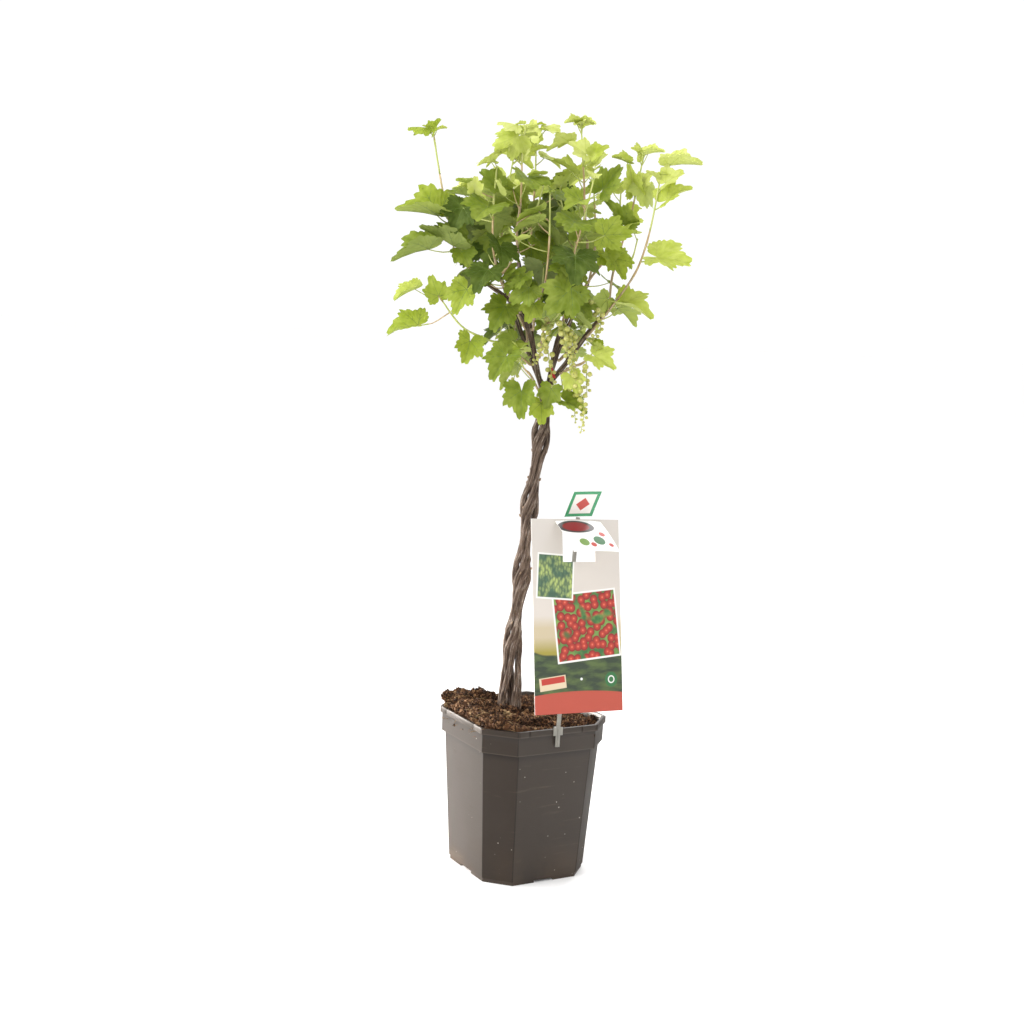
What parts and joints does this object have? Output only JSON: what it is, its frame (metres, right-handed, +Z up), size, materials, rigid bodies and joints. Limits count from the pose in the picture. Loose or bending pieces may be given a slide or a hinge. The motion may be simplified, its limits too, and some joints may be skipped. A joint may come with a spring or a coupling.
{
  "type": "potted currant standard",
  "caption": "Small fruiting tree in a square nursery pot: plaited upright stems, spreading boughs with a leafy head and hanging unripe fruit, and a tall plant label clipped to the lip.",
  "frame": {"origin": "middle of the pot's flat underside", "axes": "+Z up; X and Y along the pot's sides; -Y is the side with the label, whose picture side faces -Y"},
  "size_m": [0.3575, 0.3342, 1.0076],
  "materials": {
    "pot_plastic": "satin moulded plastic with scuffs",
    "bark_mulch": "coarse bark chips and fibres",
    "bark": "dull bark",
    "foliage": "soft satin leaf",
    "label_card": "coated printed card",
    "label_stake": "cloudy grey plastic",
    "marker_tag": "smooth plastic"
  },
  "bodies": {
    "root": {"pot": "pot_plastic", "mulch": "bark_mulch", "stem_1": "bark", "stem_2": "bark", "stem_3": "bark", "stem_4": "bark", "stem_5": "bark", "stem_6": "bark", "bough_low_right": "bark", "bough_right": "bark", "bough_back_right": "bark", "bough_back_left": "bark", "bough_left": "bark", "bough_leader": "bark", "foliage_left_tall": "foliage", "foliage_front_centre": "foliage", "foliage_right_centre": "foliage", "foliage_right_tall": "foliage", "foliage_back_right": "foliage", "foliage_back_left": "foliage", "foliage_far_right": "foliage", "foliage_centre_top": "foliage", "foliage_left_low": "foliage", "foliage_front_low": "foliage", "foliage_right_low": "foliage", "foliage_front_left": "foliage", "foliage_front_right": "foliage", "foliage_front_middle": "foliage", "foliage_fruit_spur": "foliage", "foliage_left_back": "foliage", "foliage_right_back": "foliage", "foliage_back_middle": "foliage", "foliage_back_low_left": "foliage", "foliage_back_low_right": "foliage", "label_card": "label_card", "label_flap": "label_card", "label_sign": "label_card", "label_stake": "label_stake", "label_clip": "label_stake", "marker_tag": "marker_tag"}
  },
  "joints": []
}
